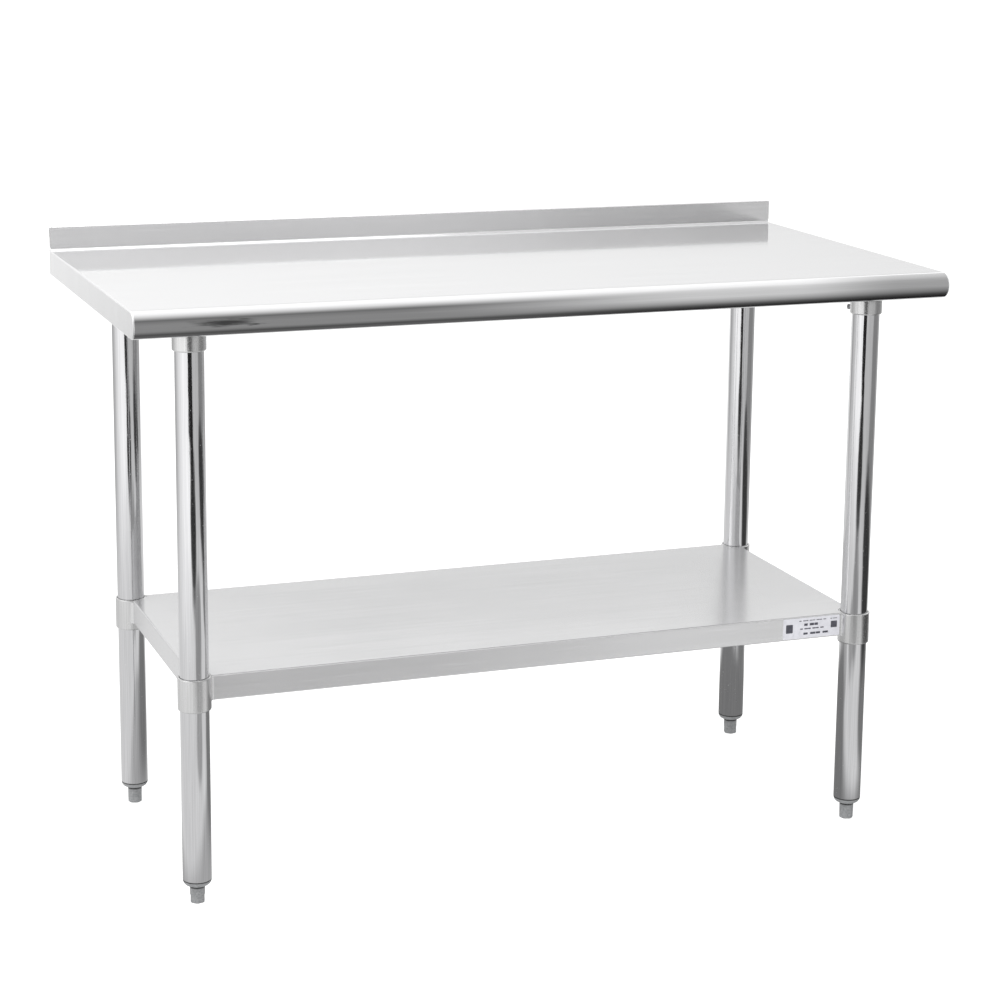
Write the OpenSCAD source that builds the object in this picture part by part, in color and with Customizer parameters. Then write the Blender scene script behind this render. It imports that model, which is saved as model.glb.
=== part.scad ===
// Stainless work table: pressed worktop with a half-round nose and a low backsplash, an
// undershelf that clamps to four round legs, and levelling feet.
// Millimetres, +Z up. The origin is on the floor under the centre of the worktop.
// +X runs along the worktop and +Y points to the backsplash.

/* [Worktop] */
// Length of the worktop, end to end
top_w = 1219.2; // [1160:0.1:1530]
// Depth of the worktop, from the nose to the back of the backsplash
top_d = 609.6; // [580:0.1:762]
// Height of the working surface above the floor
top_h = 863.6; // [800:0.1:950]
// Radius of the half-round front nose, which is half the depth of the side flanges
nose_r = 19; // [14:0.5:22]
// Height of the backsplash above the working surface
splash_h = 36; // [25:1:150]
// Thickness of all stainless sheet
sheet = 1.2; // [0.8:0.1:1.5]

/* [Legs] */
// Outside diameter of the leg tube
leg_od = 41.3; // [38:0.1:45]
// Wall of the leg tube
leg_wall = 1.2; // [1:0.1:2]
// Distance between the leg axes along the worktop
leg_span_x = 1032; // [800:1:1040]
// Distance between the front and back leg axes
leg_span_y = 422; // [380:1:440]
// How far the legs' centre lies in front of the worktop's centre
leg_forward = 11.5; // [0:0.5:20]
// Height of the cut lower end of the leg tube above the floor
leg_end_h = 35; // [30:0.5:40]

/* [Sockets and collars] */
// Outside diameter of the leg sockets and the shelf collars
ring_od = 47.5; // [45:0.1:52]
// Radial gap between a ring and the leg inside it
ring_gap = 0.6; // [0.4:0.1:1]
// Height of the lower edge of the leg sockets
socket_low_h = 796; // [720:1:805]
// Diameter of the set screws
screw_d = 8; // [6:0.5:10]
// Length of the set screws
screw_l = 8.6; // [6:0.1:12]

/* [Undershelf] */
// Height of the shelf surface above the floor
shelf_h = 333.5; // [250:0.5:500]
// Depth of the shelf's flanges
shelf_flange = 36.5; // [30:0.5:45]
// How far the shelf's ends lie outside the leg axes
shelf_over_x = 1.5; // [0:0.5:5]
// How far the shelf's front and back lie outside the leg axes
shelf_over_y = 4; // [0:0.5:6]
// Length of a shelf collar
collar_l = 48; // [40:1:60]

/* [Channels] */
// Width of a channel's web
web_w = 70; // [50:1:90]
// Depth of the channels under the worktop
channel_depth = 26; // [20:1:32]
// Width of each side flange of a channel
channel_lip = 16; // [10:1:20]

/* [Feet] */
// Diameter of a levelling foot
foot_d = 21.8; // [20:0.1:24]
// Distance across the wrench flats of a foot
foot_flats = 19.6; // [18:0.1:20]
// Height of the wrench flats
flats_h = 11; // [6:0.5:14]
// Diameter of a foot's stem
stem_d = 11.7; // [10:0.1:12]
// Length of a foot's stem
stem_l = 40.5; // [34:0.5:44]

/* [Hidden] */
CORNERS = ["front_left", "front_right", "back_right", "back_left"];
$fn = 96;

// Signs of each corner along X and Y, in the order of CORNERS
CORNER_SIGNS = [[-1, -1], [1, -1], [1, 1], [-1, 1]];
leg_x = leg_span_x / 2;
leg_y = leg_span_y / 2;
leg_r = leg_od / 2;

bend_r = 2 * sheet;                 // outside radius of the folded edges
return_w = 12;                      // lips turned inward under the flanges
hem_r = 1.6;                        // outside radius of the backsplash's folded top
hem_l = 14;                         // length of the hem behind the backsplash
cove_r = 3;                         // radius at the foot of the backsplash
flange_h = 2 * nose_r;              // depth of the worktop's side flanges
nose_y = nose_r - top_d / 2;        // axis of the half-round nose
splash_y = top_d / 2 - 2 * hem_r;   // front face of the backsplash
under_h = top_h - sheet;            // underside of the worktop's sheet
web_h = under_h - channel_depth;    // underside of the channels' webs
cross_front_y = nose_y + 9;         // front and back ends of the cross channels
cross_back_y = splash_y - 18;
channel_gap = 1;                    // between the centre channel and the cross channels
shelf_channel_inset = 34;           // from the shelf's end to its channel's end

ring_r = ring_od / 2;
bore_r = leg_r + ring_gap;
ring_round = 2;                     // rounding of a ring's lower edge
socket_plate = [88, 62, 2];         // plate by which a socket is welded to its channel
socket_screw_h = socket_low_h + 8;
leg_top_gap = 1.5;                  // between a leg's top and the plate of its socket
leg_top_h = web_h - socket_plate[2] - leg_top_gap;

collar_proud = 0.3;                 // height of a collar's rim above the shelf surface
collar_low_h = shelf_h + collar_proud - collar_l;
collar_screw_h = collar_low_h + 14;
screw_clear = 0.35;                 // gap between a collar's screw and the leg
hole_gap = 0.1;                     // radial gap round a set screw
shelf_w = leg_span_x + 2 * shelf_over_x;
shelf_d = leg_span_y + 2 * shelf_over_y;
shelf_under_h = shelf_h - sheet;
shelf_channel_depth = 22;
label_size = [96, 0.3, 32];
label_gap = 2.25;                   // between the label and the front right collar

insert_gap = 0.1;                   // between the insert and the tube's inside
dome_r = leg_r - foot_d / 2 - 1;    // radius of the dome under the tube's end
dome_top_h = leg_end_h - 0.3;
dome_low_h = dome_top_h - dome_r;
dome_inset = 0.1;                   // of the dome's widest part inside the tube's outside
insert_wall = 2;                    // skirt and webs of the insert
insert_floor_h = dome_top_h + 4;
insert_top_h = leg_end_h + 38;
boss_r = 9;
foot_gap = 0.4;                     // between a foot screwed fully in and its insert
foot_h = dome_low_h - foot_gap;
foot_taper = 0.5;                   // by which the sole's radius is smaller than the top's
flats_turn = 15;                    // angle of the wrench flats round the foot
stem_gap = 0.35;                    // radial gap round the stem, in place of the thread

// Extrudes an outline drawn in Y and Z along X.
module along_x(low, high) {
    translate([low, 0, 0])
        rotate([90, 0, 90])
            linear_extrude(high - low)
                children();
}

// Extrudes an outline drawn in X and Z along Y.
module along_y(low, high) {
    translate([0, high, 0])
        rotate([90, 0, 0])
            linear_extrude(high - low)
                children();
}

module rect(low, high) {
    translate(low)
        square(high - low);
}

// Quarter of a ring, which is a folded edge in section. The signs give its quadrant.
module fold(centre, outside, signs) {
    translate(centre)
        intersection() {
            difference() {
                circle(outside);
                circle(outside - sheet);
            }
            translate([min(signs[0], 0) * outside, min(signs[1], 0) * outside])
                square(outside);
        }
}

// Section of a flange at the right-hand side of a pan: bend, plate, lower bend and lip.
// The outside of the plate is at u = 0 and the pan's surface at v = 0.
module flange_section(height) {
    fold([-bend_r, -bend_r], bend_r, [1, 1]);
    rect([-sheet, bend_r - height], [0, -bend_r]);
    fold([-bend_r, bend_r - height], bend_r, [1, -1]);
    rect([-return_w, -height], [-bend_r, sheet - height]);
}

// Half-round nose in section, with the lip behind its lower edge.
module nose_section() {
    for (v = [-1, 1])
        fold([nose_y, top_h - nose_r], nose_r, [-1, v]);
    rect([nose_y, top_h - flange_h], [nose_y + return_w, top_h - flange_h + sheet]);
}

// Backsplash in section: cove, upstand, hem and the hem's tail behind it.
module splash_section() {
    hem_h = top_h + splash_h - hem_r;
    fold([splash_y - cove_r, top_h + cove_r], cove_r + sheet, [1, -1]);
    rect([splash_y, top_h + cove_r], [splash_y + sheet, hem_h]);
    for (u = [-1, 1])
        fold([splash_y + hem_r, hem_h], hem_r, [u, 1]);
    rect([splash_y + 2 * hem_r - sheet, hem_h - hem_l], [splash_y + 2 * hem_r, hem_h]);
}

// Closes the corner between a side flange and the foot of the backsplash.
module splash_gusset() {
    difference() {
        rect([splash_y - cove_r, top_h - bend_r], [splash_y + sheet, top_h + cove_r]);
        translate([splash_y - cove_r, top_h + cove_r])
            circle(cove_r);
    }
}

// Rounded end of the nose, which continues the side flange round the front.
module nose_end() {
    translate([0, nose_y, top_h - nose_r])
        rotate([0, 90, 0])
            rotate([0, 0, 180])
                rotate_extrude(angle = 180) {
                    rect([0, top_w / 2 - sheet], [nose_r - bend_r, top_w / 2]);
                    fold([nose_r - bend_r, top_w / 2 - bend_r], bend_r, [1, 1]);
                }
}

module worktop_side() {
    along_y(nose_y, splash_y + sheet)
        translate([top_w / 2, top_h])
            flange_section(flange_h);
    along_x(top_w / 2 - sheet, top_w / 2)
        splash_gusset();
    nose_end();
}

module worktop() {
    flat = top_w / 2 - bend_r;
    color("gainsboro") {
        along_x(-flat, flat) {
            nose_section();
            rect([nose_y, under_h], [splash_y - cove_r, top_h]);
        }
        along_x(-top_w / 2, top_w / 2)
            splash_section();
        for (side = [0, 1])
            mirror([side, 0, 0])
                worktop_side();
    }
}

// Hat section that hangs from the height given, with its web down.
module hat_section(hang_h, depth) {
    half = web_w / 2;
    rect([-half, hang_h - depth], [half, hang_h - depth + sheet]);
    for (side = [0, 1])
        mirror([side, 0]) {
            rect([half - sheet, hang_h - depth], [half, hang_h]);
            rect([half - sheet, hang_h - sheet], [half + channel_lip, hang_h]);
        }
}

// Channel across the worktop, under which a front and a back socket are welded.
module cross_channel(side) {
    color("darkgray")
        translate([side * leg_x, 0, 0])
            along_y(cross_front_y, cross_back_y)
                hat_section(under_h, channel_depth);
}

module channel_centre() {
    reach = leg_x - web_w / 2 - channel_lip - channel_gap;
    color("darkgray")
        translate([0, -leg_forward, 0])
            along_x(-reach, reach)
                hat_section(under_h, channel_depth);
}

module undershelf_channel() {
    reach = shelf_w / 2 - shelf_channel_inset;
    color("darkgray")
        translate([0, -leg_forward, 0])
            along_x(-reach, reach)
                hat_section(shelf_under_h, shelf_channel_depth);
}

// Moves a piece made for the front left corner, with its inner side towards +X +Y, to
// corner i.
module at_corner(i) {
    signs = CORNER_SIGNS[i];
    translate([signs[0] * leg_x, signs[1] * leg_y - leg_forward, 0])
        mirror([signs[0] > 0 ? 1 : 0, 0, 0])
            mirror([0, signs[1] > 0 ? 1 : 0, 0])
                children();
}

// Ring round a leg, with its lower outside edge rounded.
module ring(low, high) {
    rotate_extrude()
        difference() {
            rect([bore_r, low], [ring_r, high]);
            difference() {
                rect([ring_r - ring_round, low - 1], [ring_r + 1, low + ring_round]);
                translate([ring_r - ring_round, low + ring_round])
                    circle(ring_round);
            }
        }
}

// Points a piece drawn along +Z towards the inside of the table, at the height given.
module inward(height) {
    translate([0, 0, height])
        rotate([0, 90, 45])
            children();
}

module screw_hole(height) {
    inward(height)
        cylinder(r = screw_d / 2 + hole_gap, h = ring_od);
}

module leg_socket() {
    color("silver") {
        difference() {
            ring(socket_low_h, web_h - socket_plate[2]);
            screw_hole(socket_screw_h);
        }
        translate([-socket_plate[1] / 2, -socket_plate[0] / 2, web_h - socket_plate[2]])
            cube([socket_plate[1], socket_plate[0], socket_plate[2]]);
    }
}

module shelf_collar() {
    color("silver")
        difference() {
            ring(collar_low_h, collar_low_h + collar_l);
            screw_hole(collar_screw_h);
        }
}

// Hexagon-socket set screw whose tip is at the distance given from the leg's axis.
module set_screw(height, tip) {
    chamfer = 0.8;
    recess = 3.5;
    r = screw_d / 2;
    color("dimgray")
        inward(height)
            translate([0, 0, tip])
                difference() {
                    union() {
                        cylinder(r = r, h = screw_l - chamfer);
                        translate([0, 0, screw_l - chamfer])
                            cylinder(r1 = r, r2 = r - chamfer, h = chamfer);
                    }
                    translate([0, 0, screw_l - recess])
                        cylinder(r = r / 2, h = recess + 1, $fn = 6);
                }
}

module leg() {
    color("lightsteelblue")
        translate([0, 0, leg_end_h])
            difference() {
                cylinder(r = leg_r, h = leg_top_h - leg_end_h);
                translate([0, 0, -1])
                    cylinder(r = leg_r - leg_wall, h = leg_top_h - leg_end_h + 2);
            }
}

// Plug in the tube's end: a skirt and a threaded boss joined by webs, over a round dome.
module foot_insert() {
    skirt_r = leg_r - leg_wall - insert_gap;
    flat_r = leg_r - dome_inset - dome_r;
    rise = insert_top_h - insert_floor_h;
    web = [2 * skirt_r - insert_wall, insert_wall, rise];
    color("gray")
        difference() {
            union() {
                translate([0, 0, dome_low_h])
                    rotate_extrude() {
                        rect([0, 0], [flat_r, dome_r]);
                        translate([flat_r, dome_r])
                            intersection() {
                                circle(dome_r);
                                translate([0, -dome_r])
                                    square(dome_r);
                            }
                    }
                translate([0, 0, dome_top_h])
                    cylinder(r = skirt_r, h = insert_floor_h - dome_top_h);
                translate([0, 0, insert_floor_h]) {
                    difference() {
                        cylinder(r = skirt_r, h = rise);
                        cylinder(r = skirt_r - insert_wall, h = rise + 1);
                    }
                    cylinder(r = boss_r, h = rise);
                    for (turn = [0, 90])
                        rotate([0, 0, turn])
                            translate([-web[0] / 2, -web[1] / 2, 0])
                                cube(web);
                }
            }
            translate([0, 0, dome_low_h - 1])
                cylinder(r = stem_d / 2 + stem_gap, h = insert_top_h);
        }
}

// Foot with a slight taper, a chamfered sole, wrench flats and a stem.
module levelling_foot() {
    chamfer = 0.8;
    top_r = foot_d / 2;
    sole_r = top_r - foot_taper;
    color("darkslategray") {
        difference() {
            union() {
                cylinder(r1 = sole_r - chamfer, r2 = sole_r, h = chamfer);
                translate([0, 0, chamfer])
                    cylinder(r1 = sole_r, r2 = top_r, h = foot_h - chamfer);
            }
            translate([0, 0, -1])
                difference() {
                    cylinder(r = foot_d, h = flats_h + 1);
                    rotate([0, 0, flats_turn])
                        cylinder(r = foot_flats / sqrt(3), h = flats_h + 1, $fn = 6);
                }
        }
        translate([0, 0, foot_h])
            cylinder(r = stem_d / 2, h = stem_l);
    }
}

module undershelf() {
    color("whitesmoke")
        translate([0, -leg_forward, 0])
            difference() {
                union() {
                    translate([bend_r - shelf_w / 2, bend_r - shelf_d / 2, shelf_under_h])
                        cube([shelf_w - 2 * bend_r, shelf_d - 2 * bend_r, sheet]);
                    for (side = [0, 1]) {
                        mirror([side, 0, 0])
                            along_y(-shelf_d / 2, shelf_d / 2)
                                translate([shelf_w / 2, shelf_h])
                                    flange_section(shelf_flange);
                        mirror([0, side, 0])
                            along_x(-shelf_w / 2, shelf_w / 2)
                                translate([shelf_d / 2, shelf_h])
                                    flange_section(shelf_flange);
                    }
                }
                for (s = CORNER_SIGNS)
                    translate([s[0] * leg_x, s[1] * leg_y, collar_low_h])
                        cylinder(r = ring_r, h = collar_l + 1);
            }
}

module shelf_label() {
    right = leg_x - ring_r - label_gap;
    front = -leg_forward - shelf_d / 2;
    low = shelf_h - (shelf_flange + label_size[2]) / 2;
    color("lavender")
        translate([right - label_size[0], front - label_size[1], low])
            cube(label_size);
}

worktop();
cross_channel(-1);  // channel_left
cross_channel(1);  // channel_right
channel_centre();
undershelf();
undershelf_channel();
shelf_label();
for (i = [0:3]) {
    c = CORNERS[i];
    at_corner(i) leg_socket();
    at_corner(i) set_screw(socket_screw_h, leg_r);
    at_corner(i) leg();
    at_corner(i) foot_insert();
    at_corner(i) levelling_foot();
    at_corner(i) shelf_collar();
    at_corner(i) set_screw(collar_screw_h, leg_r + screw_clear);
}
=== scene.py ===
import math

import bmesh
import bpy
from mathutils import Matrix, Vector


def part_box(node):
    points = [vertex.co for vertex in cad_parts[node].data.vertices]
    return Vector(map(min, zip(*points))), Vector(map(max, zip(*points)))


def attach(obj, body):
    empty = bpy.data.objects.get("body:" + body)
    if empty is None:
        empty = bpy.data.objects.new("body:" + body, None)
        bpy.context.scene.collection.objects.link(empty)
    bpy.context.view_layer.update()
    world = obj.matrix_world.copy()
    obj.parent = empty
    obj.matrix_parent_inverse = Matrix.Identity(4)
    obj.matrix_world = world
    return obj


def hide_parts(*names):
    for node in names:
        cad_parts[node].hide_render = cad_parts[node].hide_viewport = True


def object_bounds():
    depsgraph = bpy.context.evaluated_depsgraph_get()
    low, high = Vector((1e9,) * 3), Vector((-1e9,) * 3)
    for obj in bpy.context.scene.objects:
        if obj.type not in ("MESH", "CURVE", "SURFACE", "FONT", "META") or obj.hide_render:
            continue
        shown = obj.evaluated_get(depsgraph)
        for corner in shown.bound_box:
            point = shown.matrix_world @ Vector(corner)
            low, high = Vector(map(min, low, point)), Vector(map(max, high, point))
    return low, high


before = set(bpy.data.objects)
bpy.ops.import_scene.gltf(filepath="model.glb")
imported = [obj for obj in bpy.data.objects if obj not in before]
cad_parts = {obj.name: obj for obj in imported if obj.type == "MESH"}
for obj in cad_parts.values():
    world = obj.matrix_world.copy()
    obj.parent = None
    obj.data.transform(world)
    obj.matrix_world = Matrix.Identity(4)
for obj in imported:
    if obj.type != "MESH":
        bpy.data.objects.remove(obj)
cad_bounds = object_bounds()

# Everything is in metres. Places come from the CAD nodes' boxes, and the values below are the
# details of the folded sheet, which the boxes don't give.

SHEET = 0.0012              # thickness of the stainless sheet
BEND_R = 0.0024             # outside radius of a folded edge
RETURN_W = 0.012            # lip turned inward under a flange
COVE_R = 0.003              # radius at the foot of the backsplash
HEM_R = 0.0016              # outside radius of the backsplash's folded top
HEM_L = 0.014               # length of the hem behind the backsplash
WEB_W = 0.070               # width of a channel's web
PLATE_T = 0.002             # thickness of a socket's plate
LEG_WALL = 0.0012           # thickness of a leg's tube
EASE = 0.0004               # small bevel that takes the edge off a cut
SMOOTH_ANGLE = math.radians(32)     # edges that turn more than this stay sharp
WELD = 1e-6                         # points closer than this are one

CORNERS = {"front_left": (-1, -1), "front_right": (1, -1), "back_right": (1, 1), "back_left": (-1, 1)}

top_low, top_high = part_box("worktop")
top_half = top_high.x
top_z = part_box("channel_left")[1].z + SHEET         # the working surface
nose_r = (top_z - top_low.z) / 2
nose_y = top_low.y + nose_r
splash_y = top_high.y - 2 * HEM_R                   # front face of the backsplash
# Places along the worktop's section, from the edge of the lip: the nose's end, the splash's start
nose_end = RETURN_W + math.pi * nose_r
splash_start = nose_end + splash_y - nose_y

shelf_low, shelf_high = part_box("undershelf")
shelf_half = (shelf_high - shelf_low) / 2
shelf_mid = (shelf_high + shelf_low) / 2


def node_radius(node):
    low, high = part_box(node)
    return (high.x - low.x) / 2


def node_axis(node):
    low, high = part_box(node)
    return (low + high) / 2


leg_r = node_radius("leg_front_left")
ring_r = node_radius("shelf_collar_front_left")
leg_axes = {corner: node_axis("leg_" + corner) for corner in CORNERS}
leg_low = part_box("leg_front_left")[0].z
foot_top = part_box("foot_insert_front_left")[0].z - 0.0004       # top of a foot's body


# ---------------------------------------------------------------- mesh helpers

def arc(centre, radius, start, end, steps):
    """Points round a circle in a plane, from one angle to another in degrees."""
    turn = [math.radians(start + (end - start) * i / steps) for i in range(steps + 1)]
    return [(centre[0] + radius * math.cos(a), centre[1] + radius * math.sin(a)) for a in turn]


def swing(start, end, steps):
    """Points round the origin from one to another that is as far from it, the short way."""
    first = math.atan2(start[1], start[0])
    turn = math.remainder(math.atan2(end[1], end[0]) - first, 2 * math.pi)
    return arc((0, 0), math.hypot(*start), math.degrees(first), math.degrees(first + turn), steps)


def lengths(points):
    """Distance along a line of points, at each of them."""
    total, result = 0.0, [0.0]
    for a, b in zip(points, points[1:]):
        total += math.dist(a, b)
        result.append(total)
    return result


def add_face(bm, corners):
    """One face. Each corner is a point and its place on the sheet, across and along the grain."""
    layer = bm.loops.layers.uv.get("grain") or bm.loops.layers.uv.new("grain")
    face = bm.faces.new([bm.verts.new(point) for point, _ in corners])
    for loop, (_, uv) in zip(face.loops, corners):
        loop[layer].uv = uv
    return face


def add_grid(bm, rows):
    """Quads between rows of corners. Faces that have no area are left out."""
    for low, high in zip(rows, rows[1:]):
        for i in range(len(low) - 1):
            corners = [low[i], low[i + 1], high[i + 1], high[i]]
            distinct = [c for j, c in enumerate(corners)
                        if (Vector(c[0]) - Vector(corners[j - 1][0])).length > WELD]
            if len(distinct) > 2:
                add_face(bm, distinct)


def join_up(bm):
    bmesh.ops.remove_doubles(bm, verts=bm.verts, dist=WELD)
    bmesh.ops.recalc_face_normals(bm, faces=bm.faces)


def face_towards(bm, direction):
    """Turns an open sheet so that its largest face points the way given."""
    largest = max(bm.faces, key=lambda face: face.calc_area())
    if largest.normal.dot(Vector(direction)) < 0:
        bmesh.ops.reverse_faces(bm, faces=bm.faces)


def to_object(name, bm):
    mesh = bpy.data.meshes.new(name)
    bm.to_mesh(mesh)
    bm.free()
    made = bpy.data.objects.new(name, mesh)
    bpy.context.scene.collection.objects.link(made)
    return made


def apply_modifiers(made):
    depsgraph = bpy.context.evaluated_depsgraph_get()
    mesh = bpy.data.meshes.new_from_object(made.evaluated_get(depsgraph))
    made.modifiers.clear()
    made.data = mesh


def thicken(made, thickness):
    """Gives an open sheet its thickness, behind the surface that it was drawn by."""
    solidify = made.modifiers.new("thickness", "SOLIDIFY")
    solidify.thickness = thickness
    solidify.offset = -1
    solidify.use_even_offset = True
    apply_modifiers(made)


def cut(made, tool):
    """Cuts a closed tool out of a piece."""
    boolean = made.modifiers.new("cut", "BOOLEAN")
    boolean.operation = "DIFFERENCE"
    boolean.solver = "EXACT"
    boolean.object = tool
    apply_modifiers(made)
    bpy.data.objects.remove(tool)


def finish_piece(made, body, slot, nodes=()):
    """Shades a piece smooth between its sharp edges and ties it to its body, slot and nodes."""
    mesh = made.data
    mesh.polygons.foreach_set("use_smooth", [True] * len(mesh.polygons))
    mesh.set_sharp_from_angle(angle=SMOOTH_ANGLE)
    normals = made.modifiers.new("normals", "WEIGHTED_NORMAL")
    normals.keep_sharp = True
    normals.weight = 100
    mesh.materials.clear()
    mesh.materials.append(MATERIALS[slot])
    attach(made, body)
    if nodes:
        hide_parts(*nodes)
    return made


def constant(radius):
    return lambda turn: radius


def add_rings(bm, rings, axis, segments):
    """Faces between rings round an upright axis. A ring is its radius by turn, and its height."""
    along = lengths([(shape(0), height) for shape, height in rings])
    rows = []
    for (shape, height), distance in zip(rings, along):
        row = []
        for i in range(segments + 1):
            turn = 2 * math.pi * (i % segments) / segments
            radius = shape(turn)
            point = (axis.x + radius * math.cos(turn), axis.y + radius * math.sin(turn), height)
            row.append((point, (ring_r * 2 * math.pi * i / segments, distance)))
        rows.append(row)
    add_grid(bm, rows)


def revolve(bm, profile, axis, segments):
    """Turns an outline of radius and height round an upright axis."""
    add_rings(bm, [(constant(radius), height) for radius, height in profile], axis, segments)


def thread(start, room, pitch, radius, depth, flank=1.0):
    """Rings of a screw thread, six to each of its turns, above a start."""
    def ridge(height):
        def shape(turn):
            phase = (height / pitch - turn / (2 * math.pi)) % 1
            return radius - depth * min(1.0, flank * abs(2 * phase - 1))
        return shape

    heights = [start + i * pitch / 6 for i in range(int(room / pitch * 6))]
    return [(ridge(height), height) for height in heights]


def rounded(corners, radius, steps=4):
    """Closed outline whose corners are rounded off by chords of a circle."""
    result = []
    count = len(corners)
    for i, corner in enumerate(corners):
        here = Vector(corner)
        before = (Vector(corners[i - 1]) - here).normalized()
        after = (Vector(corners[(i + 1) % count]) - here).normalized()
        half = before.angle(after) / 2
        centre = here + (before + after).normalized() * radius / math.sin(half)
        start = here + before * radius / math.tan(half) - centre
        end = here + after * radius / math.tan(half) - centre
        result += [(centre.x + x, centre.y + y) for x, y in swing(start, end, steps)]
    return result


def closed(outline):
    return outline + outline[:1]


# ---------------------------------------------------------------- materials

def feed(tree, node, inputs):
    """Gives a node's inputs their values, or links them to other nodes' output sockets."""
    for name, value in inputs.items():
        if isinstance(value, bpy.types.NodeSocket):
            tree.links.new(value, node.inputs[name])
        else:
            node.inputs[name].default_value = value


def add_node(tree, kind, inputs=None, **settings):
    """A shader node with its settings and its inputs."""
    made = tree.nodes.new(kind)
    for name, value in settings.items():
        setattr(made, name, value)
    feed(tree, made, inputs or {})
    return made


def object_place(tree):
    return add_node(tree, "ShaderNodeTexCoord").outputs["Object"]


def maths(tree, operation, first, second):
    return add_node(tree, "ShaderNodeMath", {0: first, 1: second}, operation=operation).outputs[0]


def vector_maths(tree, operation, first, second=(0, 0, 0)):
    made = add_node(tree, "ShaderNodeVectorMath", {0: first, 1: second}, operation=operation)
    return made.outputs["Value" if operation in ("DOT_PRODUCT", "LENGTH") else "Vector"]


def bump(tree, height, strength, distance, under=None):
    """Normal of a relief, over the normal of another relief if there is one."""
    inputs = {"Height": height, "Strength": strength, "Distance": distance}
    if under:
        inputs["Normal"] = under
    return add_node(tree, "ShaderNodeBump", inputs).outputs["Normal"]


def noise(tree, vector, size, detail=2.0, low=0.0, high=1.0, window=(0.3, 0.7)):
    """Noise with features of the size given, in metres along each axis, from low to high."""
    scaled = add_node(tree, "ShaderNodeMapping", {"Vector": vector, "Scale": [1 / s for s in size]})
    texture = add_node(tree, "ShaderNodeTexNoise",
                       {"Vector": scaled.outputs["Vector"], "Scale": 1.0, "Detail": detail})
    mapped = add_node(tree, "ShaderNodeMapRange",
                      {"Value": texture.outputs["Fac"], "From Min": window[0],
                       "From Max": window[1], "To Min": low, "To Max": high})
    return mapped.outputs["Result"]


def total(tree, *values):
    """Sum of sockets and numbers."""
    result = values[0]
    for value in values[1:]:
        result = maths(tree, "ADD", result, value)
    return result


def blend(tree, factor, first, second):
    """Mix of two colours, each a grey value, a colour or a socket."""
    def colour(value):
        if isinstance(value, (int, float)):
            return (value, value, value, 1)
        return (*value, 1) if isinstance(value, tuple) else value

    mixed = add_node(tree, "ShaderNodeMix",
                     {"Factor": factor, "A": colour(first), "B": colour(second)}, data_type="RGBA")
    return mixed.outputs["Result"]


def new_material(name):
    material = bpy.data.materials.new(name)
    material.use_nodes = True
    tree = material.node_tree
    return material, tree, tree.nodes["Principled BSDF"]


def ramp(tree, value, low, high, first, last):
    """A value that moves smoothly from first to last as its input goes from low to high."""
    return add_node(tree, "ShaderNodeMapRange",
                    {"Value": value, "From Min": low, "From Max": high, "To Min": first,
                     "To Max": last}, interpolation_type="SMOOTHSTEP").outputs["Result"]


def brushed_metal(name, dark, light, satin, roughness, variation, relief, grain, anisotropy, mark):
    """Sheet metal brushed along the grain map: fine lines, long streaks, smudges and scratches.

    satin is the share of its light that is mirrored, and not scattered."""
    material, tree, shader = new_material(name)
    sheet_place = add_node(tree, "ShaderNodeUVMap", uv_map="grain").outputs["UV"]
    place = object_place(tree)
    fine = noise(tree, sheet_place, (grain, grain * 90, 1), detail=3)
    streak = noise(tree, sheet_place, (grain * 9, grain * 500, 1), detail=2)
    smudge = noise(tree, place, (0.16, 0.10, 0.10), detail=4, low=-variation, high=variation)
    lines = noise(tree, sheet_place, (grain, grain * 90, 1), detail=3, low=-variation, high=variation)
    scratch = noise(tree, sheet_place, (grain * 0.7, grain * 30, 1), detail=0, low=0, high=mark,
                    window=(0.76, 0.82))
    rough = total(tree, smudge, lines, scratch, roughness)
    metal = satin
    if name == "worktop_steel":
        # The rolled nose is burnished by its rollers, and the backsplash keeps a coarser finish
        across = add_node(tree, "ShaderNodeSeparateXYZ", {"Vector": sheet_place}).outputs["X"]
        nose_part = ramp(tree, across, nose_end - 0.017, nose_end + 0.013, 1 - satin, 0)
        coarse = ramp(tree, across, splash_start - 0.003, splash_start, 0, 1)
        rough = total(tree, rough, maths(tree, "MULTIPLY", coarse, 0.12))
        metal = total(tree, nose_part, maths(tree, "MULTIPLY", coarse, 0.14), satin)
    tangent = add_node(tree, "ShaderNodeTangent", direction_type="UV_MAP", uv_map="grain")
    feed(tree, shader, {"Base Color": blend(tree, maths(tree, "MULTIPLY", fine, streak), dark, light),
                        "Roughness": rough, "Metallic": metal,
                        "Normal": bump(tree, fine, relief, 0.00002),
                        "Anisotropic": anisotropy, "Tangent": tangent.outputs["Tangent"]})
    return material


def tube_metal(name, dark, light, roughness, variation, relief, ripple):
    """Polished round parts: faint upright lines, water marks, pits and a slow ripple."""
    material, tree, shader = new_material(name)
    place = object_place(tree)
    lines = noise(tree, place, (0.0016, 0.0016, 0.12), detail=3)
    cloud = noise(tree, place, (0.02, 0.02, 0.09), detail=4, low=-variation, high=variation)
    pits = noise(tree, place, (0.0022, 0.0022, 0.003), detail=1, low=0, high=0.25, window=(0.72, 0.8))
    slow = bump(tree, noise(tree, place, (0.011, 0.011, 0.05), detail=1), ripple, 0.0002)
    feed(tree, shader, {"Base Color": blend(tree, lines, dark, light),
                        "Roughness": total(tree, cloud, pits, roughness), "Metallic": 1.0,
                        "Normal": bump(tree, lines, relief, 0.00002, slow)})
    return material


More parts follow.
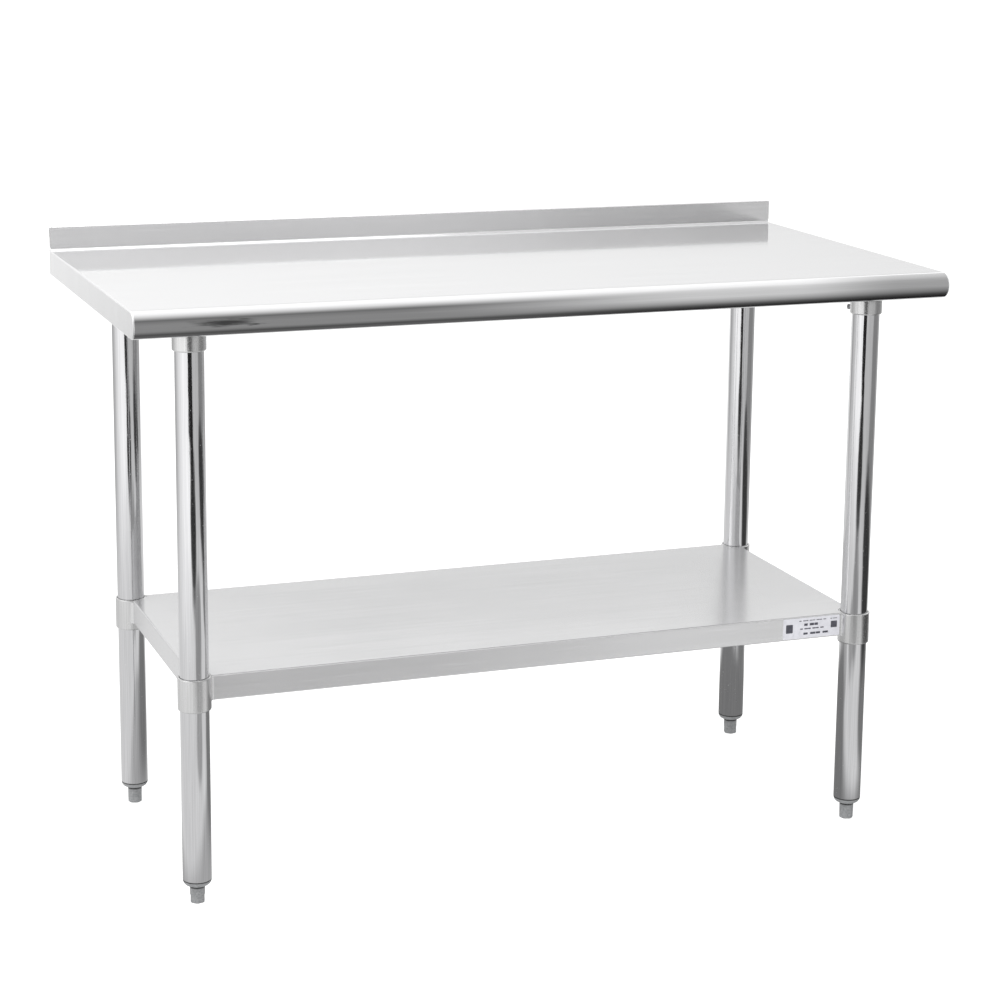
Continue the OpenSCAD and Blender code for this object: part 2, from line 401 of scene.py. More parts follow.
def galvanised():
    """Zinc-coated sheet with its spangle of flat crystals."""
    material, tree, shader = new_material("galvanised_steel")
    place = object_place(tree)
    warp = add_node(tree, "ShaderNodeTexNoise", {"Vector": place, "Scale": 70.0, "Detail": 2.0})
    bent = vector_maths(tree, "MULTIPLY", warp.outputs["Color"], (0.006, 0.006, 0.006))
    moved = vector_maths(tree, "ADD", place, bent)
    cells = add_node(tree, "ShaderNodeTexVoronoi", {"Vector": moved, "Scale": 85.0})
    grey = add_node(tree, "ShaderNodeRGBToBW", {"Color": cells.outputs["Color"]}).outputs["Val"]
    stain = noise(tree, place, (0.05, 0.05, 0.05), detail=4, low=0.0, high=0.12)
    rough = add_node(tree, "ShaderNodeMapRange", {"Value": grey, "To Min": 0.28, "To Max": 0.5})
    feed(tree, shader, {"Base Color": blend(tree, grey, (0.40, 0.41, 0.42), (0.62, 0.63, 0.65)),
                        "Roughness": total(tree, rough.outputs[0], stain), "Metallic": 1.0,
                        "Normal": bump(tree, grey, 0.2, 0.0001)})
    return material


def plastic(name, dark, light, roughness, relief, painted_shade_top, painted_shade_depth):
    """Moulded plastic with a fine skin and scuffs, and a painted shade: a dark band that ends at a
    height, in place of the shadow of the part just above.
    """
    material, tree, shader = new_material(name)
    place = object_place(tree)
    scuff = noise(tree, place, (0.004, 0.004, 0.0025), detail=5)
    height = add_node(tree, "ShaderNodeSeparateXYZ", {"Vector": place}).outputs["Z"]
    # Painted shade: the colour darkens in a band just under the band's top height, standing in for
    # the shadow of the part above
    rising = ramp(tree, height, painted_shade_top - painted_shade_depth, painted_shade_top - painted_shade_depth / 3, 0, 1)
    ending = ramp(tree, height, painted_shade_top, painted_shade_top + 0.0003, 0, -1)
    skin = noise(tree, place, (0.0006, 0.0006, 0.0006), detail=2)
    rough = noise(tree, place, (0.003, 0.003, 0.003), detail=4, low=roughness - 0.08,
                  high=roughness + 0.12)
    clean = blend(tree, scuff, dark, light)
    feed(tree, shader, {"Base Color": blend(tree, total(tree, rising, ending), clean, 0.02),
                        "Roughness": rough, "Normal": bump(tree, skin, relief, 0.00005)})
    return material


def film(name, dark, light):
    """Printed label film: satin, with a faint mottle."""
    material, tree, shader = new_material(name)
    place = object_place(tree)
    mottle = noise(tree, place, (0.006, 0.006, 0.006), detail=4)
    rough = noise(tree, place, (0.012, 0.012, 0.012), detail=3, low=0.26, high=0.42)
    feed(tree, shader, {"Base Color": blend(tree, mottle, dark, light), "Roughness": rough,
                        "Normal": bump(tree, mottle, 0.1, 0.00005)})
    return material


MATERIALS = {
    "worktop_steel": brushed_metal("worktop_steel", (0.68, 0.68, 0.685), (0.76, 0.76, 0.765),
                                   satin=0.62, roughness=0.065, variation=0.015, relief=0.06,
                                   grain=0.0009, anisotropy=0.3, mark=0.03),
    "shelf_steel": brushed_metal("shelf_steel", (0.66, 0.66, 0.665), (0.72, 0.72, 0.725),
                                 satin=0.76, roughness=0.22, variation=0.02, relief=0.05,
                                 grain=0.0009, anisotropy=0.85, mark=0.02),
    "leg_steel": tube_metal("leg_steel", (0.62, 0.62, 0.63), (0.72, 0.72, 0.73),
                            roughness=0.085, variation=0.02, relief=0.12, ripple=0.35),
    "ring_steel": tube_metal("ring_steel", (0.60, 0.60, 0.60), (0.70, 0.70, 0.70),
                             roughness=0.27, variation=0.04, relief=0.3, ripple=0.2),
    "galvanised_steel": galvanised(),
    "screw_steel": tube_metal("screw_steel", (0.30, 0.30, 0.31), (0.42, 0.42, 0.43),
                              roughness=0.35, variation=0.05, relief=0.3, ripple=0.1),
    # Painted shade on both plastics: on the insert just under the leg tube's end, and on the foot's
    # body just under the insert's dome
    "insert_plastic": plastic("insert_plastic", (0.20, 0.205, 0.21), (0.28, 0.285, 0.29),
                              roughness=0.32, relief=0.25, painted_shade_top=leg_low, painted_shade_depth=0.002),
    "foot_plastic": plastic("foot_plastic", (0.20, 0.205, 0.21), (0.30, 0.305, 0.31),
                            roughness=0.28, relief=0.3, painted_shade_top=foot_top, painted_shade_depth=0.0045),
    "label_film": film("label_film", (0.56, 0.56, 0.60), (0.64, 0.64, 0.68)),
    "label_ink": film("label_ink", (0.045, 0.045, 0.06), (0.07, 0.07, 0.09)),
}


# ---------------------------------------------------------------- worktop

def build_worktop():
    """Pressed worktop: one sheet, from the lip behind the nose to the hem of the backsplash."""
    low_z = top_low.z
    mid_z = top_z - nose_r
    cove_y = splash_y - COVE_R
    hem_z = top_high.z - HEM_R
    flat = top_half - BEND_R

    lip = [(nose_y + RETURN_W, low_z)]
    nose = arc((nose_y, mid_z), nose_r, -90, -270, 32)
    steps = (0.004, 0.02, 0.10, 0.30, 0.55, 0.80, 0.95, 0.99, 1.0)
    deck = [(nose_y + (cove_y - nose_y) * s, top_z) for s in steps]
    cove = arc((cove_y, top_z + COVE_R), COVE_R, -90, 0, 6)[1:]
    pan = lip + nose + deck + cove
    climb = [(splash_y, top_z + COVE_R + step) for step in (0.001, 0.0025, 0.008)]
    climb.append((splash_y, hem_z - 0.004))
    hem = arc((splash_y + HEM_R, hem_z), HEM_R, 180, 0, 10)
    back_y = splash_y + 2 * HEM_R
    tail = [(back_y, hem_z - 0.003), (back_y, hem_z - HEM_L)]
    path = pan + climb + hem + tail
    along = lengths(path)

    inner = top_half - RETURN_W
    columns = [-inner, -0.3 * inner, 0.3 * inner, inner]

    def end_place(y):
        """Place of an end flange in the grain map, clear of the nose's and the splash's zones."""
        return nose_end + 0.03 + 0.85 * (y - top_low.y)

    # How far the splash's ends are set in where they rise out of the folded edge
    flare = {len(pan): 0.0010, len(pan) + 1: 0.0003}

    bm = bmesh.new()
    rows = []
    for i, ((y, z), distance) in enumerate(zip(path, along)):
        edge = flat if i < len(pan) else top_half - flare.get(i, 0.0002)
        row = [((x, y, z), (distance, x)) for x in [-edge, *columns, edge]]
        rows.append(row)
    add_grid(bm, rows)

    # The rim runs along the bottom from the back, round the nose and back to the cove. Each
    # place has the way inward, by which the folded edge is set back.
    back = splash_y + BEND_R
    bottom = [(y, low_z) for y in (back, 0.5 * back, 0, 0.5 * nose_y, nose_y + RETURN_W)]
    rim = [(p, (0.0, 1.0)) for p in bottom]
    rim += [(p, ((nose_y - p[0]) / nose_r, (mid_z - p[1]) / nose_r)) for p in nose]
    rim += [(p, (0.0, -1.0)) for p in deck]
    rim += [(p, ((p[0] - cove_y) / COVE_R, (p[1] - top_z - COVE_R) / COVE_R)) for p in cove]
    for side in (-1, 1):
        rows = []
        for (y, z), (in_y, in_z) in rim:
            row = []
            for inset, out in arc((BEND_R, 0), BEND_R, 180, 90, 6):
                # inset runs from 0 at the top of the bend to BEND_R at the plate
                row.append(((side * (flat + out), y + in_y * inset, z + in_z * inset),
                            (end_place(y), top_half + out + inset)))
            rows.append(row)
        add_grid(bm, rows)
        plate = [row[-1] for row in rows]
        corner = (side * top_half, back, top_z + COVE_R - 0.002)
        plate = [(p, (end_place(p[1]), top_half + top_z - p[2])) for p, _ in plate]
        plate.append((corner, (end_place(back), top_half)))
        add_face(bm, plate)
        lip_rows = []
        for y, z in bottom:
            lip_rows.append([((side * inner, y, z), (end_place(y), top_half + 0.05)),
                             ((side * flat, y, z), (end_place(y), top_half + 0.04))])
        add_grid(bm, lip_rows)
    join_up(bm)
    face_towards(bm, (0, 0, 1))
    made = to_object("worktop_pressing", bm)
    thicken(made, SHEET)
    finish_piece(made, "table", "worktop_steel", ["worktop"])


# ---------------------------------------------------------------- undershelf

def build_undershelf():
    """Shelf pan with folded flanges and lips, notched round to fit the four collars."""
    height = shelf_high.z - shelf_low.z
    section = arc((BEND_R, -BEND_R), BEND_R, 90, 180, 6)
    section += arc((BEND_R, BEND_R - height), BEND_R, 180, 270, 6)
    section.append((RETURN_W, -height))
    down = lengths(section)
    leg_x = leg_axes["front_right"].x
    leg_y = leg_axes["back_right"].y - shelf_mid.y

    def reach(axis, half, inset, other):
        """Where a line at an inset from the shelf's edge meets a collar."""
        off = axis - (half - inset)
        return other - math.sqrt(ring_r ** 2 - off ** 2)

    def place(x, y, drop):
        return (x, shelf_mid.y + y, shelf_high.z + drop)

    bm = bmesh.new()
    shares = (-1, -0.98, -0.5, 0, 0.5, 0.98, 1)
    for side in (-1, 1):
        rows = []
        for (inset, drop), distance in zip(section, down):
            end = reach(leg_y, shelf_half.y, inset, leg_x)
            y = side * (shelf_half.y - inset)
            rows.append([(place(s * end, y, drop), (y + side * distance, s * end)) for s in shares])
        add_grid(bm, rows)
        rows = []
        for (inset, drop), distance in zip(section, down):
            end = reach(leg_x, shelf_half.x, inset, leg_y)
            x = side * (shelf_half.x - inset)
            rows.append([(place(x, s * end, drop), (s * end, x + side * distance)) for s in shares])
        add_grid(bm, rows)

    end_x = reach(leg_y, shelf_half.y, BEND_R, leg_x)
    end_y = reach(leg_x, shelf_half.x, BEND_R, leg_y)
    outline = []
    for sx, sy in ((1, -1), (1, 1), (-1, 1), (-1, -1)):
        on_long = Vector((sx * (end_x - leg_x), sy * (shelf_half.y - BEND_R - leg_y)))
        on_short = Vector((sx * (shelf_half.x - BEND_R - leg_x), sy * (end_y - leg_y)))
        first, last = (on_long, on_short) if sx * sy < 0 else (on_short, on_long)
        inside = Vector((-sx, -sy)).normalized() * ring_r
        notch = swing(first, inside, 12)[:-1] + swing(inside, last, 12)
        outline += [(sx * leg_x + x, sy * leg_y + y) for x, y in notch]
        along_long = [(s * end_x, sy * (shelf_half.y - BEND_R)) for s in shares[1:-1]]
        along_short = [(sx * (shelf_half.x - BEND_R), s * end_y) for s in shares[1:-1]]
        if sx * sy < 0:
            outline += along_short if sx > 0 else along_short[::-1]
        else:
            outline += along_long[::-1] if sy > 0 else along_long
    add_face(bm, [(place(x, y, 0), (y, x)) for x, y in outline])
    join_up(bm)
    face_towards(bm, (0, 0, 1))
    made = to_object("undershelf_pan", bm)
    thicken(made, SHEET)
    finish_piece(made, "shelf", "shelf_steel", ["undershelf"])


def build_shelf_welds():
    """Ground welds that blend the shelf's flanges into the collars."""
    fillet = 0.006
    sink = 0.0004
    leg_x = leg_axes["front_right"].x
    low_z, high_z = shelf_low.z + 0.0006, shelf_high.z - BEND_R
    bm = bmesh.new()
    for corner, (sx, sy) in CORNERS.items():
        axis = leg_axes[corner]
        over_x = shelf_half.x - leg_x
        over_y = shelf_half.y - abs(axis.y - shelf_mid.y)
        for over, swap in ((over_x, False), (over_y, True)):
            off = over + fillet
            away = math.sqrt((ring_r + fillet) ** 2 - off ** 2)
            # In the plane: a runs out from the flange's face and b along it from the leg's axis
            start = math.degrees(math.atan2(away, off)) + 180
            curve = arc((off, away), fillet, start, 180, 8)
            outline = curve + [(over - sink, away),
                               (over - sink, math.sqrt(ring_r ** 2 - over ** 2) - sink),
                               (curve[0][0] - sink * 0.6, curve[0][1] - sink)]
            rows = []
            for z in (low_z, high_z):
                row = []
                for a, b in closed(outline):
                    dx, dy = (-b, a) if swap else (a, -b)
                    row.append(((axis.x + sx * dx, axis.y + sy * dy, z), (a + b, z)))
                rows.append(row)
            add_grid(bm, rows)
            add_face(bm, rows[0][:-1])
            add_face(bm, rows[1][:-1])
    join_up(bm)
    made = to_object("undershelf_welds", bm)
    finish_piece(made, "shelf", "shelf_steel")


# ---------------------------------------------------------------- channels

def build_channel(name, node, body, axis):
    """Folded hat channel that hangs from its lips, along X or Y."""
    low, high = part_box(node)
    across = 1 if axis == 0 else 0
    middle = (low[across] + high[across]) / 2
    half, depth, reach = WEB_W / 2, high.z - low.z, (high[across] - low[across]) / 2
    side = [(reach, -SHEET), (half + BEND_R, -SHEET)]
    side += arc((half + SHEET, -2 * SHEET), SHEET, 90, 180, 5)
    side += arc((half - BEND_R, BEND_R - depth), BEND_R, 0, -90, 6)
    section = side + [(-u, v) for u, v in reversed(side)]
    along = lengths(section)
    ends = [low[axis] + (high[axis] - low[axis]) * s for s in (0, 0.02, 0.5, 0.98, 1)]
    rows = []
    for (u, v), distance in zip(section, along):
        row = []
        for end in ends:
            point = [0, 0, high.z + v]
            point[axis] = end
            point[across] = middle + u
            row.append((tuple(point), (distance, end)))
        rows.append(row)
    bm = bmesh.new()
    add_grid(bm, rows)
    join_up(bm)
    face_towards(bm, (0, 0, -1))
    made = to_object(name, bm)
    thicken(made, SHEET)
    finish_piece(made, body, "galvanised_steel", [node])


# ---------------------------------------------------------------- rings, legs, feet

def inward_matrix(corner, height):
    """Place on a leg's axis, with +Z pointing level to the inside of the table."""
    sx, sy = CORNERS[corner]
    direction = Vector((-sx, -sy, 0)).normalized()
    turn = direction.to_track_quat("Z", "Y").to_matrix().to_4x4()
    return Matrix.Translation((leg_axes[corner].x, leg_axes[corner].y, height)) @ turn


def screw_hole(corner, height, radius):
    bm = bmesh.new()
    chamfer = 0.0006
    profile = [(0, 0.012), (radius, 0.012), (radius, ring_r - chamfer),
               (radius + 2 * chamfer, ring_r + chamfer), (radius + 2 * chamfer, 0.04), (0, 0.04)]
    revolve(bm, profile, Vector((0, 0, 0)), 32)
    join_up(bm)
    bm.transform(inward_matrix(corner, height))
    return to_object("hole", bm)


def build_ring(name, corner, node, screw_node, top_round, low_round):
    """Ring round a leg, with a screw hole towards the inside of the table."""
    low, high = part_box(node)
    screw_low, screw_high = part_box(screw_node)
    bore = leg_r + 0.0006
    axis = leg_axes[corner]
    top = high.z
    if node.startswith("leg_socket"):
        top -= PLATE_T
    outline = [(bore, low.z + EASE), (bore + EASE, low.z)]
    outline += arc((ring_r - low_round, low.z + low_round), low_round, -90, 0, 6)
    outline += arc((ring_r - top_round, top - top_round), top_round, 0, 90, 4)
    outline += [(bore + EASE, top), (bore, top - EASE)]
    bm = bmesh.new()
    revolve(bm, closed(outline), axis, 128)
    join_up(bm)
    made = to_object(name, bm)
    cut(made, screw_hole(corner, (screw_low.z + screw_high.z) / 2, 0.0041))
    return made


def build_socket(corner):
    """Leg socket: a ring welded under a plate, which is welded under its channel."""
    node = "leg_socket_" + corner
    made = build_ring(node + "_ring", corner, node, "socket_screw_" + corner,
                      top_round=EASE, low_round=0.0022)
    low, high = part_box(node)
    axis = leg_axes[corner]
    under = high.z - PLATE_T
    bm = bmesh.new()
    bm.from_mesh(made.data)
    half_x, half_y = (high.x - low.x) / 2, (high.y - low.y) / 2
    corners = [(-half_x, -half_y), (half_x, -half_y), (half_x, half_y), (-half_x, half_y)]
    rows = []
    for inset, z in ((EASE, high.z), (0, high.z - EASE), (0, under + EASE), (EASE, under)):
        outline = rounded([(x - math.copysign(inset, x), y - math.copysign(inset, y))
                           for x, y in corners], 0.004 - inset)
        rows.append([((axis.x + x, axis.y + y, z), (x, y)) for x, y in closed(outline)])
    add_grid(bm, rows)
    add_face(bm, rows[0][:-1])
    add_face(bm, rows[-1][:-1])
    # Fillet weld between the ring and the plate, with the ripples of its runs
    segments, ripples, throat, sink = 144, 40, 0.0034, 0.0004
    rows = []
    for i in range(segments + 1):
        turn = 2 * math.pi * (i % segments) / segments
        size = throat * (1 + 0.10 * abs(math.sin(turn * ripples / 2)) + 0.06 * math.sin(3 * turn))
        row = []
        for out, drop in ((-sink, 0.0002), (1, 0.0002), (0.62, 0.42), (0.42, 0.62), (0.0, 1),
                          (-sink, 1)):
            radius = ring_r + (out * size if out > 0 else out)
            z = under - (drop * size if drop > 0.001 else -drop)
            row.append(((axis.x + radius * math.cos(turn), axis.y + radius * math.sin(turn), z),
                        (turn * ring_r, drop)))
        rows.append(closed(row))
    add_grid(bm, rows)
    join_up(bm)
    bm.to_mesh(made.data)
    bm.free()
    made.name = "leg_socket_welded_" + corner
    finish_piece(made, "table", "ring_steel", [node])


def build_collar(corner):
    """Shelf collar: a ring whose top is rounded well over."""
    node = "shelf_collar_" + corner
    made = build_ring("shelf_collar_turned_" + corner, corner, node, "collar_screw_" + corner,
                      top_round=0.0019, low_round=0.0022)
    finish_piece(made, "shelf", "ring_steel", [node])


def build_screw(name, corner, node, body):
    """Set screw: cup point, thread ridges, chamfered end and a hexagon recess."""
    low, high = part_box(node)
    height = (low.z + high.z) / 2
    radius = (high.z - low.z) / 2
    # The box of a diagonal cylinder gives its near and far ends along the diagonal
    span = (high.x - low.x) * math.sqrt(2)
    length = span - 2 * radius
    axis = leg_axes[corner]
    near = min(abs(low.x - axis.x), abs(high.x - axis.x))
    tip = near * math.sqrt(2) + radius
    chamfer, recess, pitch, depth = 0.0008, 0.0035, 0.00125, 0.0003

    def hexagon(turn):
        inside = (turn + math.pi / 6) % (math.pi / 3) - math.pi / 6
        return radius / 2 * math.cos(math.pi / 6) / math.cos(inside)

    rings = [(constant(0.0), 0.0007), (constant(radius * 0.45), 0.0),
             (constant(radius * 0.55), 0.0), (constant(radius - depth), 0.0012)]
    rings += thread(0.0014, length - chamfer - 0.0015, pitch, radius, depth)
    rings += [(constant(radius - 0.0001), length - chamfer), (constant(radius - chamfer), length),
              (hexagon, length), (hexagon, length - recess), (constant(0.0), length - recess)]
    bm = bmesh.new()
    add_rings(bm, rings, Vector((0, 0, 0)), 48)
    join_up(bm)
    bm.transform(inward_matrix(corner, height) @ Matrix.Translation((0, 0, tip)))
    finish_piece(to_object(name, bm), body, "screw_steel", [node])


def build_leg(corner):
    """Leg tube with its cut ends slightly rounded."""
    node = "leg_" + corner
    low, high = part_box(node)
    ease = 0.0005
    inside = leg_r - LEG_WALL
    outline = arc((leg_r - ease, low.z + ease), ease, -90, 0, 4)
    outline += [(leg_r, low.z + 0.004), (leg_r, (low.z + high.z) / 2), (leg_r, high.z - 0.004)]
    outline += arc((leg_r - ease, high.z - ease), ease, 0, 90, 4)
    outline += [(inside, high.z), (inside, high.z - 0.004), (inside, low.z + 0.004), (inside, low.z)]
    bm = bmesh.new()
    revolve(bm, closed(outline), leg_axes[corner], 144)
    join_up(bm)
    finish_piece(to_object("leg_tube_" + corner, bm), "table", "leg_steel", [node])


def build_foot(corner):
    """Levelling foot: tapered body with six wrench flats, and a threaded stem."""
    node = "levelling_foot_" + corner
    low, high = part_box(node)
    axis = leg_axes[corner]
    top_r = (high.x - low.x) / 2
    sole_r = top_r - 0.0005
    flats_z, flats = 0.011, 0.0098
    body_z = foot_top
    stem_r, pitch, depth = 0.00585, 0.002, 0.0007
    turn_0 = math.radians(15) * CORNERS[corner][0] * CORNERS[corner][1]

    def round_r(z):
        return sole_r + (top_r - sole_r) * z / body_z

    def flat_r(turn, z):
        inside = (turn - turn_0) % (math.pi / 3) - math.pi / 6
        return min(round_r(z), flats / math.cos(inside))

    def cut_at(z, ease=0.0):
        return lambda turn: flat_r(turn, z) - ease

    rings = [(constant(0.0), 0.0012), (constant(0.006), 0.0012), (constant(0.0064), 0.0004),
             (constant(0.0070), 0.0), (cut_at(0.0, 0.0010), 0.0), (cut_at(0.0, 0.0003), 0.0003),
             (cut_at(0.001), 0.001), (cut_at(flats_z - 0.0006), flats_z - 0.0006),
             (cut_at(flats_z), flats_z), (constant(round_r(flats_z)), flats_z + 0.0005),
             (constant(round_r(body_z - 0.0012)), body_z - 0.0012),
             (constant(round_r(body_z) - 0.0001), body_z - 0.0005),
             (constant(round_r(body_z) - 0.0006), body_z), (constant(stem_r), body_z),
             (constant(stem_r - depth), body_z + 0.001)]
    rings += thread(body_z + 0.0014, high.z - body_z - 0.003, pitch, stem_r, depth, flank=1.4)
    rings += [(constant(stem_r - depth), high.z - 0.0012),
              (constant(stem_r - depth - 0.001), high.z), (constant(0.0), high.z)]
    bm = bmesh.new()
    add_rings(bm, rings, axis, 96)
    join_up(bm)
    made = to_object("levelling_foot_moulded_" + corner, bm)
    finish_piece(made, "foot_" + corner, "foot_plastic", [node])


# ---------------------------------------------------------------- label

def add_slab(bm, low, high, front, back, radius):
    """Thin upright slab that faces the front, with rounded corners, in X and Z."""
    corners = [(low[0], low[1]), (high[0], low[1]), (high[0], high[1]), (low[0], high[1])]
    outline = closed(rounded(corners, radius))
    rows = [[((x, y, z), (z, x)) for x, z in outline] for y in (front, back)]
    add_grid(bm, rows)
    add_face(bm, rows[0][:-1])
    add_face(bm, rows[1][:-1])


def build_label():
    """Plain film label: a block, a rating box and bars in place of any mark or lettering."""
    low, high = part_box("shelf_label")
    print_t = 0.00005
    bm = bmesh.new()
    add_slab(bm, (low.x, low.z), (high.x, high.z), low.y + print_t, high.y, 0.002)
    join_up(bm)
    finish_piece(to_object("shelf_label_film", bm), "shelf", "label_film", ["shelf_label"])

    width, height = high.x - low.x, high.z - low.z
    front, back = low.y, low.y + print_t + 0.00002
    bm = bmesh.new()

    def bar(x0, x1, z0, z1, radius=0.0004):
        add_slab(bm, (low.x + x0 * width, low.z + z0 * height),
                 (low.x + x1 * width, low.z + z1 * height), front, back, radius)

    def line(x0, x1, z0, z1, count):
        """Row of short bars, of two lengths by turns."""
        step = (x1 - x0) / count
        for i in range(count):
            start = x0 + step * (i + 0.08 * (i % 2))
            bar(start, start + step * (0.86 if i % 2 else 0.68), z0, z1)

    bar(0.05, 0.17, 0.30, 0.72, 0.0012)
    line(0.28, 0.76, 0.835, 0.875, 8)
    line(0.37, 0.64, 0.60, 0.72, 3)
    line(0.30, 0.72, 0.43, 0.49, 6)
    line(0.36, 0.80, 0.17, 0.27, 4)
    bar(0.84, 0.95, 0.40, 0.72, 0.0008)
    line(0.83, 0.96, 0.835, 0.87, 3)
    join_up(bm)
    made = to_object("shelf_label_print", bm)
    finish_piece(made, "shelf", "label_film")
    made.data.materials[0] = MATERIALS["label_ink"]


# ---------------------------------------------------------------- stage, light and camera

# Brightness by bearing, of the walls and of the far floor: 0 is -X, 0.25 -Y, 0.5 +X and 0.75 +Y
WALL_STOPS = ((0.0, 1.15), (0.14, 1.10), (0.20, 0.50), (0.27, 0.36), (0.29, 0.36),
              (0.302, 0.55), (0.315, 0.0), (0.42, 0.0), (0.50, 0.42), (0.64, 0.66),
              (0.675, 0.76), (0.715, 0.80), (0.80, 0.85), (1.0, 1.15))
FLOOR_STOPS = ((0.0, 1.12), (0.06, 1.3), (0.185, 1.3), (0.20, 0.70), (0.37, 0.62), (0.395, 0.30),
               (0.51, 0.30), (0.53, 0.50), (0.60, 0.45), (0.612, 0.15), (0.635, 1.15), (0.78, 1.05),
               (0.82, 0.45), (0.894, 0.65), (0.947, 0.90), (0.99, 1.1))
# Centre, radii and brightness of soft ovals on the floor: the table's shadow at the left and in
# the middle, the paper's dark edge at the right, near and far, and the dark ground in front, of
# which the nearest part is seen in the shelf's flange
FLOOR_PATCHES = (((-0.32, -0.10), (0.34, 0.36), 0.52), ((0.32, 0.12), (0.72, 0.48), 0.24),
                 ((1.15, -0.2), (0.38, 0.6), 0.25), ((1.90, -1.0), (0.70, 1.25), 0.05),
                 ((0.05, -1.40), (0.55, 0.45), 0.36),
                 ((-0.22, -0.92), (0.30, 0.24), 0.45), ((-0.60, -2.50), (0.80, 0.78), 0.04))
FLOOR_REACH = 60.0                          # half of the floor's width
FLAG = (-1.95, -0.25, -3.05, 1.0)           # left, right, place in Y and height
# The card round the nose: its radius, its turn in degrees, and brightness by turn at either side
CARD_R = 0.032
CARD_TURN = (-95, 108)
CARD_LEFT = ((-95, 0.15), (-72, 0.14), (-59, 0.10), (-50, 0.17), (-42, 0.25), (-34, 0.32),
             (-27, 0.33), (3, 0.33), (15, 0.29), (25, 0.25), (29, 0.20), (33, 0.26), (38, 0.40),
             (45, 0.62), (52, 0.84), (58, 1.0), (66, 1.18), (74, 1.33), (84, 1.4))
CARD_RIGHT = ((-95, 0.03), (-69, 0.04), (-59, 0.08), (-50, 0.13), (-42, 0.21), (-34, 0.34),
              (-21, 0.52), (-8, 0.67), (3, 0.80), (26, 0.82), (39, 0.85), (52, 0.95), (58, 1.08),
              (66, 1.21), (74, 1.29), (84, 1.35))
# Painted reflections of dark things in front, as dark spots on it: centre and radii in X and turn,
# and brightness
CARD_DARK_SPOTS = (((-0.482, 0.02), (0.034, 0.30), 0.07), ((-0.440, -0.22), (0.010, 0.10), 0.12))


def set_stops(made, stops):
    """Gives a colour ramp its greys. Each stop is a position and a brightness."""
    elements = made.color_ramp.elements
    while len(elements) < len(stops):
        elements.new(0.5)
    for element, (place, value) in zip(elements, stops):
        element.position = place
        element.color = (value, value, value, 1)


def bearing_light(tree, direction, stops):
    """Brightness round the table by compass bearing: 0 is -X, 0.25 -Y, 0.5 +X and 0.75 +Y."""
    bearing = add_node(tree, "ShaderNodeTexGradient", {"Vector": direction}, gradient_type="RADIAL")
    made = add_node(tree, "ShaderNodeValToRGB", {"Fac": bearing.outputs["Fac"]})
    set_stops(made, stops)
    return made.outputs["Color"]


def build_world():
    """Studio round the table: dim in front, bright above the walls, and even overhead."""
    world = bpy.data.worlds.new("studio")
    bpy.context.scene.world = world
    world.use_nodes = True
    world.cycles.sampling_method = "NONE"
    tree = world.node_tree
    tree.nodes.clear()
    direction = add_node(tree, "ShaderNodeTexCoord").outputs["Generated"]
    around = bearing_light(tree, direction, WALL_STOPS)
    split = add_node(tree, "ShaderNodeSeparateXYZ", {"Vector": direction})
    slope = vector_maths(tree, "DOT_PRODUCT", direction, (2.5, 1.0, 0.0))
    ceiling = ramp(tree, slope, -1.0, 0.1, 1.1, 1.4)
    crown = ramp(tree, split.outputs["Z"], 0.45, 0.65, 0, 1)
    height = ramp(tree, split.outputs["Z"], 0.22, 0.40, 0, 1)
    above = blend(tree, crown, ceiling, 0.68)
    room = add_node(tree, "ShaderNodeBackground", {"Color": blend(tree, height, around, above)})
    white = add_node(tree, "ShaderNodeBackground", {"Color": (1, 1, 1, 1)})
    camera_ray = add_node(tree, "ShaderNodeLightPath").outputs["Is Camera Ray"]
    mixed = add_node(tree, "ShaderNodeMixShader",
                     {0: camera_ray, 1: room.outputs[0], 2: white.outputs[0]})
    output = add_node(tree, "ShaderNodeOutputWorld")
    tree.links.new(mixed.outputs[0], output.inputs["Surface"])


def stage_mesh(name, points, material, faces=((0, 1, 2, 3),)):
    mesh = bpy.data.meshes.new(name)
    mesh.from_pydata([tuple(p) for p in points], [], faces)
    made = bpy.data.objects.new(name, mesh)
    made.data.materials.append(material)
    bpy.context.scene.collection.objects.link(made)
    return made


def stage_square(name, reach, height, material):
    """Level square of the stage, with its middle above the frame's origin."""
    corners = [(-reach, -reach), (reach, -reach), (reach, reach), (-reach, reach)]
    return stage_mesh(name, [(x, y, height) for x, y in corners], material)


def only_in_reflections(made):
    """Hides a part of the stage from everything but mirrored light."""
    made.visible_camera = False
    made.visible_diffuse = False
    made.visible_shadow = False
    made.visible_transmission = False


def glowing(name):
    """A material that only glows, and is found by reflections and not sampled as a lamp."""
    made = bpy.data.materials.new(name)
    made.use_nodes = True
    made.cycles.emission_sampling = "NONE"
    tree = made.node_tree
    tree.nodes.clear()
    light = add_node(tree, "ShaderNodeEmission")
    output = add_node(tree, "ShaderNodeOutputMaterial", {"Surface": light.outputs[0]})
    return made, tree, light.inputs["Color"]


def patch(tree, place, under, centre, radii, value, core=0.75):
    """A soft-edged oval of another brightness. core is the share of its radius that isn't faded."""
    moved = vector_maths(tree, "SUBTRACT", place, (*centre, 0))
    scaled = vector_maths(tree, "DIVIDE", moved, (*radii, 1))
    inside = ramp(tree, vector_maths(tree, "LENGTH", scaled), core, 2 - core, 1, 0)
    return blend(tree, inside, under, value)


